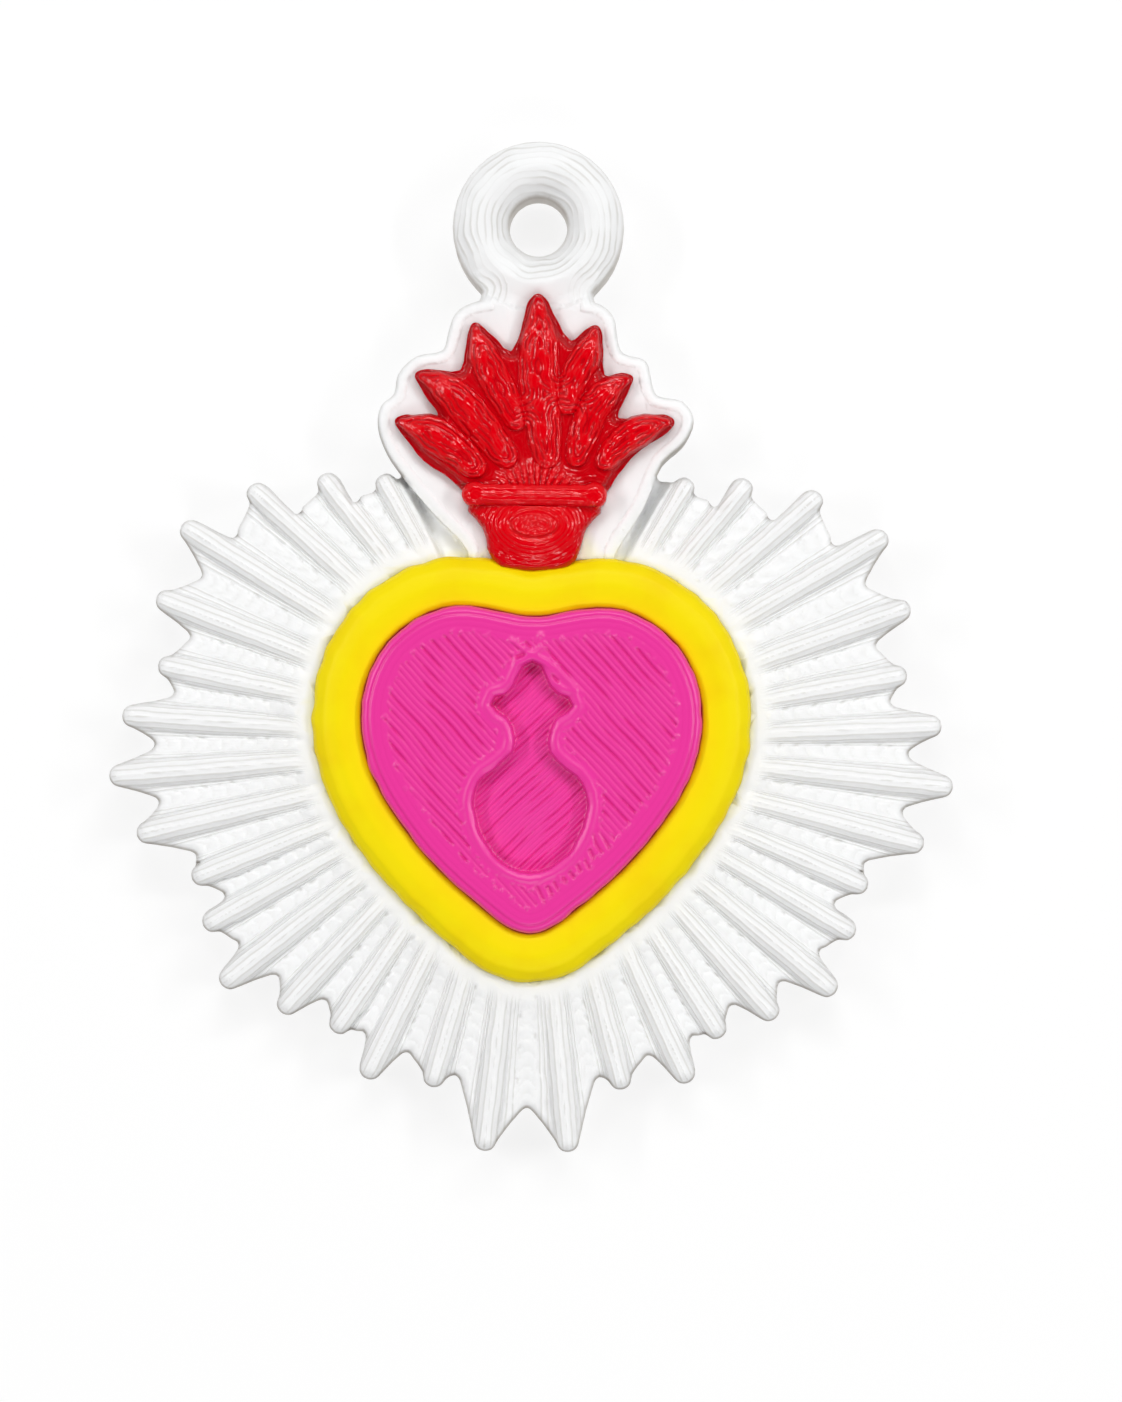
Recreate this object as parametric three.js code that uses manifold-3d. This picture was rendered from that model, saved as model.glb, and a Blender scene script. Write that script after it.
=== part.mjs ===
// Sacred heart charm: a white sunburst with a hanging loop, which carries a red crown of flames,
// a yellow heart-shaped rim and a pink heart with a pocket in its face.
// Millimetres. Each piece is drawn lying on its back: x to the right, y up the charm, and z the
// height above the flat back. The whole charm is then stood upright, with +Z up and its face
// towards -Y. The origin is the centre of the loop's hole.
import * as THREE from 'three';
import { mergeVertices } from 'three/addons/utils/BufferGeometryUtils.js';
import Module from 'manifold-3d';

// Heights above the flat back
const BASE_EDGE = 1.5;
const BED_TOP = 2.5;
const RAY_CREST = 2.8;
const PLATE_FLOOR = 2.8;
const PLATE_LIP_TOP = 3.0;
const LOOP_CREST = 3.0;
const SEAT_FLOOR = 1.6;
const RIM_CREST = 3.6;
const HEART_FACE = 4.0;
const POCKET_DEPTH = 0.7;
// How far a cut runs on past the face that it opens
const CUT_RUN = 1;

// Heights above the plate's floor
const CROWN_WALL = 0.5;
const PETAL_CREST = 1.1;
const BAND_CREST = 1.2;
const CUP_CREST = 0.8;
const BOSS_CREST = 1.05;

// Edge roundings, as shares of their radius: in from the side, and down from the top
const ROUNDED_EDGE = [[0, 1], [0.3, 0.3], [1, 0]];

// Loop and neck: each place along the neck is a height from the loop's centre and half a width
const LOOP_RADIUS = 3.4;
const HOLE_RADIUS = 1.15;
const HOLE_FLARE = 0.6;
const LOOP_ROUNDING = 0.55;
const LOOP_SIDES = 40;
const NECK = [[-1.9, 2.7], [-2.65, 2.2], [-3.7, 2.4]];
const NECK_ROUNDING = 0.5;
const NECK_OPENING_HALF = 1.7;
const LOOP_TO_FLAME_TIP = 2.77;

// Rays, as the direction of each in degrees from straight up and its reach from the fan's centre.
// Each is repeated on the other side.
const RAYS = [
  [30.2, 12.14], [39.0, 13.46], [48.6, 15.07], [59.0, 16.3], [69.6, 15.92], [79.0, 15.1],
  [87.0, 16.25], [95.4, 16.78], [104.0, 16.06], [112.7, 14.5], [120.1, 14.9], [128.8, 15.6],
  [137.8, 14.6], [146.5, 13.9], [154.5, 14.85], [164.5, 14.22], [174.1, 16.3],
];
// Notches, in the same way: the one above the first ray, and then the one below each ray
const NOTCHES = [
  [25.4, 11.5], [36.5, 11.71], [45.9, 12.86], [55.7, 14.22], [64.2, 14.59], [73.9, 14.12],
  [82.8, 14.27], [91.1, 14.9], [99.9, 14.92], [109.5, 13.99], [117.0, 13.56], [125.0, 14.05],
  [133.5, 13.65], [142.3, 13.05], [150.5, 13.24], [159.1, 13.2], [167.8, 13.51], [180, 14.46],
];
const NOTCH_HALF = 0.22;
const NOTCH_ROUNDING = 0.14;
const RAY_TIP_RADIUS = 0.48;
const RAY_TIP_FALL = 0.9;
const RAY_WIDENING = 0.9;
const RAY_FOOT_HALF = 0.85;
const RAY_CREST_HALF = 0.46;
const RAY_CREST_ROUNDING = 0.25;
const RAY_ROOT_RADIUS = 5.5;
const BED_SHRINK = 0.66;

// Heart, rim and pocket, from the fan's centre: the right half of each outline, from the top down
const HEART_OUTLINE = [
  [0, 4.9], [0.6, 4.93], [2.5, 5.26], [4.05, 5.0], [5.64, 3.84], [6.5, 2.1], [6.6, 0.3], [6.1, -1.45],
  [5.02, -3.22], [3.52, -4.98], [1.46, -6.75], [0.6, -7.32], [0, -7.45],
];
const POCKET_OUTLINE = [
  [0, 3.22], [0.51, 2.95], [0.65, 2.46], [0.98, 2.01], [1.47, 1.85], [1.67, 1.55], [1.47, 1.18],
  [0.98, 0.84], [0.76, 0.3], [0.79, -0.3], [1.28, -0.84], [1.95, -1.33], [2.32, -2.2], [2.2, -3.1],
  [1.85, -3.95], [1.3, -4.63], [0.6, -5.08], [0, -5.2],
];
const RIM_WIDTH = 1.8;
const RIM_OUTER_DROPS = [[0, 0.7], [0.12, 0.35], [0.45, 0.08]];
const RIM_INNER_DROPS = [[0.25, 0.08], [0, 0.3]];
const HEART_GAP = 0.08;
const SEAT_CLEARANCE = 0.08;
const HEART_EDGE_ROUNDING = 0.3;

// Crown, from the middle of its foot. Each petal, from left to right, has half its width and its
// spine, from the tip to the root.
const PETALS = [
  { half: 0.74, spine: [[-5.36, 5.48], [-4.35, 5.17], [-3.36, 4.6], [-2.56, 3.92], [-2.05, 3.4]] },
  { half: 0.76, spine: [[-4.6, 7.28], [-3.68, 6.93], [-2.89, 6.18], [-1.99, 5.2], [-0.86, 3.75]] },
  { half: 0.68, spine: [[-2.43, 9.24], [-2.15, 8.3], [-1.67, 7.27], [-1.12, 6.3], [-0.61, 5.2]] },
  { half: 0.86, spine: [[0.03, 10.43], [0.13, 9.07], [0.08, 7.6], [0.18, 6.6], [0.34, 5.14], [0.5, 3.7]] },
  { half: 0.64, spine: [[2.29, 9.22], [2.01, 8.31], [1.66, 7.55], [1.33, 6.8], [1.2, 5.8]] },
  { half: 0.68, spine: [[3.68, 7.27], [3.0, 6.96], [2.33, 6.2], [1.95, 5.26], [1.7, 4.4], [1.62, 3.75]] },
  { half: 0.62, spine: [[5.3, 5.58], [4.5, 5.42], [3.62, 4.98], [2.94, 4.3], [2.62, 3.7]] },
];
const PETAL_TIP_RADIUS = 0.2;
const PETAL_ROOT_RADIUS = 0.35;
const PETAL_SWELL_END = 0.34;
const PETAL_NARROWING_START = 0.5;
const PETAL_NARROWING = 1.7;
// Where along a petal its sections are drawn, as shares of its length
const PETAL_PLACES = [0.13, 0.25, 0.38, 0.5, 0.65, 0.8];
// A petal's section as shares of half its width and of its rise, from the side to the crest
const PETAL_SECTION = [[1, 0], [0.82, 0.6], [0.5, 0.93], [0, 1]];
const PETAL_TIP_RISE = 0.45;
const PETAL_ROOT_FALL = 0.2;
// The flames stand on one wall. It leaves a margin round the petals' tips, and its notches lie
// between one petal and the next.
const FLAME_MARGIN = 0.14;
const FLAME_EDGE_ROUNDING = 0.14;
const FLAME_NOTCHES = [[-3.72, 5.58], [-2.95, 7.5], [-0.98, 8.24], [1.33, 8.68], [2.66, 7.36], [3.2, 5.72]];
const FLAME_FOOT = [
  [4.12, 4.55], [3.25, 3.55], [2.78, 2.8], [2.2, 2.5], [0, 2.4], [-2.2, 2.5], [-2.78, 2.8], [-3.3, 3.26],
  [-4.33, 3.99],
];
const BAND_RISE = 2.66;
const BAND_HALF_LENGTH = 2.31;
const BAND_RADIUS = 0.4;
const BAND_SECTION = [[1, 0.7], [0.7, 0.2], [0, 0]];
const BAND_END_RADIUS = 0.5;
const CUP_OUTLINE = [
  [0, 2.6], [1.9, 2.6], [2.5, 2.42], [2.62, 2.04], [2.2, 1.65], [1.93, 1.18], [1.76, 0.45],
  [1.4, -0.06], [0.7, -0.24], [0, -0.3],
];
const CUP_ROUNDING = 0.3;
const BOSS_RISE = 1.6;
const BOSS_HALF_WIDTH = 1.1;
const BOSS_HALF_HEIGHT = 0.58;
// A mound's section as shares of its size, in from the edge and down from the top
const MOUND_SECTION = [[1, 0.5], [0.8, 0.2], [0.45, 0]];
const FOOT_LAP = 0.08;
const FOOT_CLEARANCE = 0.1;

// Plate behind the flames, from the middle of the crown's foot: half its width to the right and to
// the left, from the neck down to the rim. A raised lip runs along its edge.
const PLATE_RIGHT = [
  [2.2, 10.35], [3.0, 9.8], [3.2, 8.8], [3.4, 8.32], [4.3, 8.05], [4.56, 7.2], [4.75, 6.68],
  [5.8, 6.45], [6.25, 5.7], [5.9, 4.8], [5.05, 4.0], [4.3, 2.2], [3.2, 0.4], [2.8, -1.0],
];
const PLATE_LEFT = [
  [2.2, 10.35], [3.2, 9.85], [3.52, 8.95], [3.7, 8.35], [4.75, 8.1], [5.47, 7.35], [5.6, 6.6],
  [6.1, 6.15], [6.24, 5.3], [5.85, 4.2], [5.2, 3.3], [3.9, 1.8], [2.6, 0.4], [2.6, -1.0],
];
const PLATE_ROUNDING = 0.25;
const LIP_WIDTH = 0.5;

// Places that follow from the sizes above: the crown hangs from the loop, the rim from the crown's
// foot, and the fan's centre from the rim
const highest = (points) => Math.max(...points.map((point) => point[1]));
const flameHeight = Math.max(...PETALS.map(({ spine }) => highest(spine))) + FLAME_MARGIN;
const crownY = -LOOP_TO_FLAME_TIP - flameHeight;
const rimOffset = HEART_GAP + RIM_WIDTH;
const fanY = crownY + FOOT_LAP - rimOffset - highest(HEART_OUTLINE);

const wasm = await Module();
wasm.setup();

// Solids and meshes

// A closed geometry as a solid, with its faces turned outwards
function toSolid(geometry) {
  const bare = geometry.index ? geometry.toNonIndexed() : geometry.clone();
  for (const name of Object.keys(bare.attributes)) {
    if (name !== 'position') {
      bare.deleteAttribute(name);
    }
  }
  const merged = mergeVertices(bare, 1e-5);
  const vertProperties = new Float32Array(merged.attributes.position.array);
  const triVerts = new Uint32Array(merged.index.array);
  const solid = new wasm.Manifold(new wasm.Mesh({ numProp: 3, vertProperties, triVerts }));
  if (solid.volume() > 0) {
    return solid;
  }
  triVerts.reverse();
  return new wasm.Manifold(new wasm.Mesh({ numProp: 3, vertProperties, triVerts }));
}

function toGeometry(solid) {
  const mesh = solid.getMesh();
  const geometry = new THREE.BufferGeometry();
  geometry.setAttribute('position', new THREE.BufferAttribute(new Float32Array(mesh.vertProperties), 3));
  geometry.setIndex(new THREE.BufferAttribute(new Uint32Array(mesh.triVerts), 1));
  geometry.computeVertexNormals();
  return geometry;
}

// A closed solid through rings of [x, y, z] points: the first and last ring are capped, or a row
// that comes round to its start is joined to itself
function loft(rings, comesRound = false) {
  const count = rings[0].length;
  const index = [];
  const bands = comesRound ? rings.length : rings.length - 1;
  for (let i = 0; i < bands; i += 1) {
    const here = i * count;
    const next = ((i + 1) % rings.length) * count;
    for (let j = 0; j < count; j += 1) {
      const k = (j + 1) % count;
      index.push(here + j, here + k, next + k, here + j, next + k, next + j);
    }
  }
  if (!comesRound) {
    const end = (rings.length - 1) * count;
    for (const [a, b, c] of capTriangles(rings[0])) {
      index.push(a, c, b);
    }
    for (const [a, b, c] of capTriangles(rings[rings.length - 1])) {
      index.push(end + a, end + b, end + c);
    }
  }
  const geometry = new THREE.BufferGeometry();
  geometry.setAttribute('position', new THREE.Float32BufferAttribute(rings.flat(2), 3));
  geometry.setIndex(index);
  return toSolid(geometry);
}

// Triangles over one flat ring, turned the way the ring runs
function capTriangles(ring) {
  const corners = ring.map((point) => new THREE.Vector3(...point));
  const normal = new THREE.Vector3();
  corners.forEach((corner, i) => {
    const next = corners[(i + 1) % corners.length];
    normal.add(corner.clone().sub(corners[0]).cross(next.clone().sub(corners[0])));
  });
  normal.normalize();
  const u = corners[1].clone().sub(corners[0]).normalize();
  const v = normal.clone().cross(u);
  const flat = corners.map((corner) => new THREE.Vector2(corner.dot(u), corner.dot(v)));
  return THREE.ShapeUtils.triangulateShape(flat, []);
}

const union = (solids) => solids.reduce((sum, solid) => sum.add(solid));

// Outlines: they run clockwise, the right half from the top down, and then the left half

function curveThrough(points) {
  return new THREE.SplineCurve(points.map(([x, y]) => new THREE.Vector2(x, y)));
}

function smoothHalf(points, steps) {
  return curveThrough(points).getSpacedPoints(steps).map(({ x, y }) => [x, y]);
}

// The same with as many steps between near points as between far ones, for a line with a tight bend
function closelyBentHalf(points, steps) {
  return curveThrough(points).getPoints((points.length - 1) * steps).map(({ x, y }) => [x, y]);
}

// A smooth closed outline through points, with so many steps from each to the next
function smoothOutline(points, steps) {
  const curve = new THREE.CatmullRomCurve3(points.map(([x, y]) => new THREE.Vector3(x, y, 0)), true);
  return curve.getPoints(points.length * steps).slice(0, -1).map(({ x, y }) => [x, y]);
}

// A right half whose two ends lie on the middle line, with its mirror image added
function mirrored(right, x0, y0) {
  const left = right.slice(1, -1).reverse().map(([x, y]) => [-x, y]);
  return [...right, ...left].map(([x, y]) => [x + x0, y + y0]);
}

// The same outline moved outwards, across its own direction at each point
function grown(outline, distance) {
  return outline.map(([x, y], i) => {
    const [x1, y1] = outline[(i + outline.length - 1) % outline.length];
    const [x2, y2] = outline[(i + 1) % outline.length];
    const length = Math.hypot(x2 - x1, y2 - y1);
    return [x - ((y2 - y1) / length) * distance, y + ((x2 - x1) / length) * distance];
  });
}

// An outline grown and lifted from step to step, each a [distance, height] pair
function stacked(outline, steps, comesRound = false) {
  const rings = steps.map(([distance, z]) => grown(outline, distance).map(([x, y]) => [x, y, z]));
  return loft(rings, comesRound);
}

function prism(outline, from, to) {
  return stacked(outline, [[0, from], [0, to]]);
}

// A flat slab whose upper edge is rounded
function roundedSlab(outline, from, to, radius) {
  return stacked(outline, [[0, from], ...ROUNDED_EDGE.map(([inwards, down]) => (
    [-inwards * radius, to - down * radius]
  ))]);
}

// A ridge along a line on the charm: at each station its section is drawn across the line from
// [across, height] pairs
function ridge(stations, section) {
  return loft(stations.map((station) => {
    const { x, y, dx, dy } = station;
    return section(station).map(([across, z]) => [x - dy * across, y + dx * across, z]);
  }));
}

// A section from its right side, listed from the foot to the crest on the middle line
function bothSides(right) {
  const left = right.slice(0, -1).reverse().map(([across, z]) => [-across, z]);
  return [...right, ...left];
}

// Half the width of a round tip, and of what follows it, at a distance from its end
function roundTip(radius, fromEnd) {
  return fromEnd < radius ? Math.sqrt(radius ** 2 - (radius - fromEnd) ** 2) : radius;
}

// Sunburst

// A place on the fan, from a direction in degrees from straight up, the distance from the fan's
// centre, and a distance across that direction
function onFan([degrees, distance], across = 0) {
  const angle = THREE.MathUtils.degToRad(degrees);
  const x = Math.sin(angle) * distance + Math.cos(angle) * across;
  const y = Math.cos(angle) * distance - Math.sin(angle) * across;
  return [x, fanY + y];
}

// A row on the right of the fan that ends on the middle line, and its mirror image
function bothSidesOfFan(right) {
  return [...right, ...right.slice(0, -1).reverse().map(([x, y]) => [-x, y])];
}

// The fan's outline: round tips, and between them round notches. The last notch is on the middle line.
function fanOutline() {
  const turns = [-1, -0.5, 0, 0.5, 1].map((share) => (share * Math.PI) / 2);
  const tip = ([degrees, reach]) => turns.map((turn) => onFan(
    [degrees, reach - RAY_TIP_RADIUS * (1 - Math.cos(turn))],
    RAY_TIP_RADIUS * Math.sin(turn),
  ));
  const beside = ([degrees, distance], side) => (
    onFan([degrees, distance + NOTCH_ROUNDING], side * NOTCH_HALF)
  );
  const right = NOTCHES.flatMap((notch, i) => [
    beside(notch, -1), onFan(notch), ...(i < RAYS.length ? [beside(notch, 1), ...tip(RAYS[i])] : []),
  ]);
  return smoothOutline(bothSidesOfFan(right), 2);
}

// One ray: a bar with a flat-topped crest and steep flanks, and a tip that falls away all round
function ray([degrees, reach], side) {
  const angle = THREE.MathUtils.degToRad(degrees);
  const dx = side * Math.sin(angle);
  const dy = Math.cos(angle);
  const stations = [
    0.08 * RAY_TIP_RADIUS, 0.3 * RAY_TIP_RADIUS, 0.6 * RAY_TIP_RADIUS, RAY_TIP_RADIUS,
    RAY_TIP_RADIUS + RAY_WIDENING, reach - RAY_ROOT_RADIUS,
  ].map((fromTip) => ({ x: dx * (reach - fromTip), y: fanY + dy * (reach - fromTip), dx, dy, fromTip }));
  return ridge(stations, ({ fromTip }) => {
    const round = roundTip(RAY_TIP_RADIUS, fromTip);
    const widened = THREE.MathUtils.clamp((fromTip - RAY_TIP_RADIUS) / RAY_WIDENING, 0, 1);
    const foot = round + (RAY_FOOT_HALF - RAY_TIP_RADIUS) * widened;
    const crest = Math.min(RAY_CREST_HALF, 0.8 * foot);
    const top = RAY_CREST - RAY_TIP_FALL * (1 - round / RAY_TIP_RADIUS);
    return bothSides([
      [foot, 0], [foot, BASE_EDGE], [crest, top - RAY_CREST_ROUNDING],
      [0.6 * crest, top - 0.25 * RAY_CREST_ROUNDING], [0, top],
    ]);
  });
}

// The bed under the rays: it climbs from the notches to the rim, and so the valleys climb with it
function bed() {
  const edge = smoothOutline(bothSidesOfFan(NOTCHES.map((notch) => onFan(notch))), 2);
  return loft([[1, 0], [1, BASE_EDGE], [BED_SHRINK, BED_TOP]].map(([share, z]) => (
    edge.map(([x, y]) => [x * share, fanY + (y - fanY) * share, z])
  )));
}

// All the rays on their bed. Where two rays meet, the fan's outline rounds the notch between them.
function fan() {
  const rays = union(RAYS.flatMap((size) => [ray(size, 1), ray(size, -1)]));
  const outline = fanOutline();
  return rays.intersect(prism(outline, 0, HEART_FACE)).add(prism(outline, 0, BASE_EDGE)).add(bed());
}

function loop() {
  const flareEnd = HOLE_RADIUS + HOLE_FLARE;
  const roundingStart = LOOP_RADIUS - LOOP_ROUNDING;
  const profile = [
    [HOLE_RADIUS, 0], [LOOP_RADIUS, 0],
    [LOOP_RADIUS, LOOP_CREST - 2 * LOOP_ROUNDING],
    [LOOP_RADIUS - 0.2 * LOOP_ROUNDING, LOOP_CREST - LOOP_ROUNDING],
    [roundingStart, LOOP_CREST - 0.3 * LOOP_ROUNDING],
    [(flareEnd + roundingStart) / 2, LOOP_CREST],
    [flareEnd, LOOP_CREST - 0.3 * HOLE_FLARE],
    [HOLE_RADIUS + 0.3 * HOLE_FLARE, LOOP_CREST - HOLE_FLARE],
    [HOLE_RADIUS, LOOP_CREST - 2 * HOLE_FLARE],
    [HOLE_RADIUS, 0],
  ];
  const turned = new THREE.LatheGeometry(profile.map(([r, z]) => new THREE.Vector2(r, z)), LOOP_SIDES);
  return toSolid(turned.rotateX(Math.PI / 2));
}

// The neck narrows from the loop to its waist and runs on into the plate
function neck() {
  const stations = NECK.map(([y, half]) => ({ x: 0, y, dx: 0, dy: 1, half }));
  const shoulder = PLATE_FLOOR - NECK_ROUNDING;
  return ridge(stations, ({ half }) => bothSides([
    [half, 0], [half, shoulder], [half - 0.5 * NECK_ROUNDING, PLATE_FLOOR], [0, PLATE_FLOOR],
  ]));
}

// The plate: its floor lies inside the lip, and the lip stops where the neck comes in
function plate() {
  const corners = [...PLATE_RIGHT, ...PLATE_LEFT.map(([x, y]) => [-x, y]).reverse()];
  const placed = corners.map(([x, y]) => [x, y + crownY]);
  const half = NECK_OPENING_HALF;
  const neckEnd = NECK[NECK.length - 1][0] - LIP_WIDTH;
  const opening = [[-half, 0], [half, 0], [half, neckEnd], [-half, neckEnd]];
  return roundedSlab(smoothOutline(placed, 3), 0, PLATE_LIP_TOP, PLATE_ROUNDING)
    .subtract(prism(smoothOutline(grown(placed, -LIP_WIDTH), 3), PLATE_FLOOR, HEART_FACE))
    .subtract(prism(opening, PLATE_FLOOR, HEART_FACE));
}

const heartOutline = mirrored(closelyBentHalf(HEART_OUTLINE, 3), 0, fanY);
const cupOutline = mirrored(smoothHalf(CUP_OUTLINE, 16), 0, crownY);

function sunburst() {
  const seat = prism(grown(heartOutline, rimOffset + SEAT_CLEARANCE), SEAT_FLOOR, RIM_CREST);
  const flareEnd = HOLE_RADIUS + HOLE_FLARE;
  const hole = prism(ellipse(flareEnd, flareEnd, 0, 0, 24), -CUT_RUN, RIM_CREST);
  const flameSeat = prism(flameOutline(FOOT_CLEARANCE), PLATE_FLOOR, HEART_FACE);
  return union([fan(), neck().subtract(hole), plate(), loop()]).subtract(seat).subtract(flameSeat);
}

// Rim and heart

function heartRim() {
  const outer = HEART_GAP + RIM_WIDTH;
  const band = stacked(heartOutline, [
    [HEART_GAP, SEAT_FLOOR], [outer, SEAT_FLOOR],
    ...RIM_OUTER_DROPS.map(([inwards, down]) => [outer - inwards, RIM_CREST - down]),
    [HEART_GAP + 0.5 * RIM_WIDTH, RIM_CREST],
    ...RIM_INNER_DROPS.map(([inwards, down]) => [HEART_GAP + inwards, RIM_CREST - down]),
  ], true);
  return band.subtract(prism(grown(cupOutline, FOOT_CLEARANCE), PLATE_FLOOR, HEART_FACE + CUT_RUN));
}

function heart() {
  const body = roundedSlab(heartOutline, SEAT_FLOOR, HEART_FACE, HEART_EDGE_ROUNDING);
  const pocket = mirrored(smoothHalf(POCKET_OUTLINE, 26), 0, fanY);
  return body.subtract(prism(pocket, HEART_FACE - POCKET_DEPTH, HEART_FACE + CUT_RUN));
}

// Crown

// The outline of the flames' wall, with a clearance all round it
function flameOutline(clearance) {
  const tips = PETALS.map(({ spine: [[x, y], [x1, y1]] }) => {
    const radius = PETAL_TIP_RADIUS + FLAME_MARGIN;
    const length = Math.hypot(x - x1, y - y1);
    const dx = (x - x1) / length;
    const dy = (y - y1) / length;
    const at = (ahead, across) => [x + dx * ahead + dy * across, y + dy * ahead - dx * across];
    return [at(FLAME_MARGIN - radius, -radius), at(FLAME_MARGIN, 0), at(FLAME_MARGIN - radius, radius)];
  });
  const flames = tips.flatMap((tip, i) => (i < FLAME_NOTCHES.length ? [...tip, FLAME_NOTCHES[i]] : tip));
  return smoothOutline(grown([...flames, ...FLAME_FOOT], clearance), 3).map(([x, y]) => [x, y + crownY]);
}

// Half the width of a petal at a distance from its tip: round at both ends and widest in between
function petalHalfWidth(half, length, fromTip) {
  const swell = THREE.MathUtils.clamp((fromTip - PETAL_TIP_RADIUS) / (PETAL_SWELL_END * length), 0, 1);
  const narrowing = PETAL_NARROWING * half * Math.max(fromTip / length - PETAL_NARROWING_START, 0) ** 2;
  const width = (half - PETAL_TIP_RADIUS) * Math.sin((swell * Math.PI) / 2) - narrowing;
  const root = roundTip(PETAL_ROOT_RADIUS, length - fromTip) / PETAL_ROOT_RADIUS;
  return (roundTip(PETAL_TIP_RADIUS, fromTip) + width) * root;
}

function petalStations(petal) {
  const curve = curveThrough(petal.spine);
  const length = curve.getLength();
  const tip = PETAL_TIP_RADIUS;
  const root = PETAL_ROOT_RADIUS;
  const distances = [
    0.1 * tip, 0.5 * tip, tip, ...PETAL_PLACES.map((share) => share * length),
    length - root, length - 0.5 * root, length - 0.1 * root,
  ];
  return distances.map((fromTip) => {
    const at = fromTip / length;
    const point = curve.getPointAt(at);
    const along = curve.getTangentAt(at);
    const half = petalHalfWidth(petal.half, length, fromTip);
    return { x: point.x, y: crownY + point.y, dx: along.x, dy: along.y, half, at };
  });
}

function petalRidge(petal) {
  const wall = PLATE_FLOOR + CROWN_WALL;
  return ridge(petalStations(petal), ({ half, at }) => {
    const share = Math.min(1, PETAL_TIP_RISE + 2 * at) * (1 - PETAL_ROOT_FALL * at ** 6);
    const rise = (PETAL_CREST - CROWN_WALL) * share;
    return bothSides([
      [half, PLATE_FLOOR],
      ...PETAL_SECTION.map(([across, up]) => [across * half, wall + up * rise]),
    ]);
  });
}

// The rolled band across the roots of the flames
function rolledBand() {
  const y = crownY + BAND_RISE;
  const stations = [-1, 1].map((side) => ({ x: side * BAND_HALF_LENGTH, y, dx: 1, dy: 0 }));
  const top = PLATE_FLOOR + BAND_CREST;
  return ridge(stations, () => bothSides([
    [BAND_RADIUS, PLATE_FLOOR],
    ...BAND_SECTION.map(([across, down]) => [across * BAND_RADIUS, top - down * BAND_RADIUS]),
  ]));
}

function ellipse(halfWidth, halfHeight, x0, y0, steps) {
  return Array.from({ length: steps }, (_, i) => {
    const angle = (-2 * Math.PI * i) / steps;
    return [x0 + halfWidth * Math.cos(angle), y0 + halfHeight * Math.sin(angle)];
  });
}

// A round or oval mound with a domed top, standing on the plate's floor
function mound(halfWidth, halfHeight, x0, y0, rise) {
  const top = PLATE_FLOOR + rise;
  const dome = MOUND_SECTION.map(([share, down]) => [share, top - down * halfHeight]);
  return loft([[1, PLATE_FLOOR], ...dome].map(([share, z]) => (
    ellipse(share * halfWidth, share * halfHeight, x0, y0, 20).map(([x, y]) => [x, y, z])
  )));
}

function flameCrown() {
  const wall = roundedSlab(flameOutline(0), PLATE_FLOOR, PLATE_FLOOR + CROWN_WALL, FLAME_EDGE_ROUNDING);
  const cup = roundedSlab(cupOutline, PLATE_FLOOR, PLATE_FLOOR + CUP_CREST, CUP_ROUNDING);
  const bandEnds = [-1, 1].map((side) => (
    mound(BAND_END_RADIUS, BAND_END_RADIUS, side * BAND_HALF_LENGTH, crownY + BAND_RISE, BAND_CREST)
  ));
  const boss = mound(BOSS_HALF_WIDTH, BOSS_HALF_HEIGHT, 0, crownY + BOSS_RISE, BOSS_CREST);
  return union([wall, ...PETALS.map(petalRidge), cup, rolledBand(), ...bandEnds, boss]);
}

// The charm

const colours = { white: '#f3f5f6', yellow: '#fbe500', pink: '#ee3a9e', red: '#d40014' };

function piece(name, solid, colour, roughness) {
  const mesh = new THREE.Mesh(
    toGeometry(solid),
    new THREE.MeshStandardMaterial({ color: colour, roughness, metalness: 0 }),
  );
  mesh.name = name;
  return mesh;
}

const charm = new THREE.Group();
charm.add(piece('sunburst', sunburst(), colours.white, 0.45));
charm.add(piece('heart_rim', heartRim(), colours.yellow, 0.4));
charm.add(piece('heart', heart(), colours.pink, 0.4));
charm.add(piece('flame_crown', flameCrown(), colours.red, 0.25));
charm.rotation.x = Math.PI / 2;

export default charm;
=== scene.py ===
"""Finishes the sacred heart charm: a small plastic charm printed in four colours.

The white sunburst, the yellow rim, the pink heart and the red crown of flames are cast again from
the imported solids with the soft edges, layers and strands that a printer leaves, and each gets its
plastic.
"""

import math
from types import SimpleNamespace

import bpy
import numpy as np
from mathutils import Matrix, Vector, bvhtree, kdtree


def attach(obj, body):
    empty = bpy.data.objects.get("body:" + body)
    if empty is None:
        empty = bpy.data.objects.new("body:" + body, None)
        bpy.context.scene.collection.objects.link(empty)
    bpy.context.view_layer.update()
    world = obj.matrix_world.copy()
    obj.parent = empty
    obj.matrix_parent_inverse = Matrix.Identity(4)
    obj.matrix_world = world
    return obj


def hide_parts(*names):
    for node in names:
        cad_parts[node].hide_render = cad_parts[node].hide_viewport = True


bl_info = {
    "name": "Sacred heart charm",
    "version": (1, 0, 0),
    "blender": (4, 5, 0),
    "location": "View3D > Sidebar > Charm",
    "description": "Models and finishes a sacred heart charm printed in four colours of plastic",
    "category": "Add Mesh",
}

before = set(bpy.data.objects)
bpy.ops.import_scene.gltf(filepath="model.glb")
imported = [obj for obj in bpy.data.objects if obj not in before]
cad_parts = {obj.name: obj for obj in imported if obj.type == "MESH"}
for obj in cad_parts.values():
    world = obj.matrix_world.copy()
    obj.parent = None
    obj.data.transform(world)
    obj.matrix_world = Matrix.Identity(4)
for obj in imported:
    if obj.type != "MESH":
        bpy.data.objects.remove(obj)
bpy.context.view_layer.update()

MM = 0.001
TURN = 2 * math.pi

# Lengths below are in millimetres, depths are counted forward from the flat back, and a pair of
# numbers gives the two ends of a smooth change.

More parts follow.
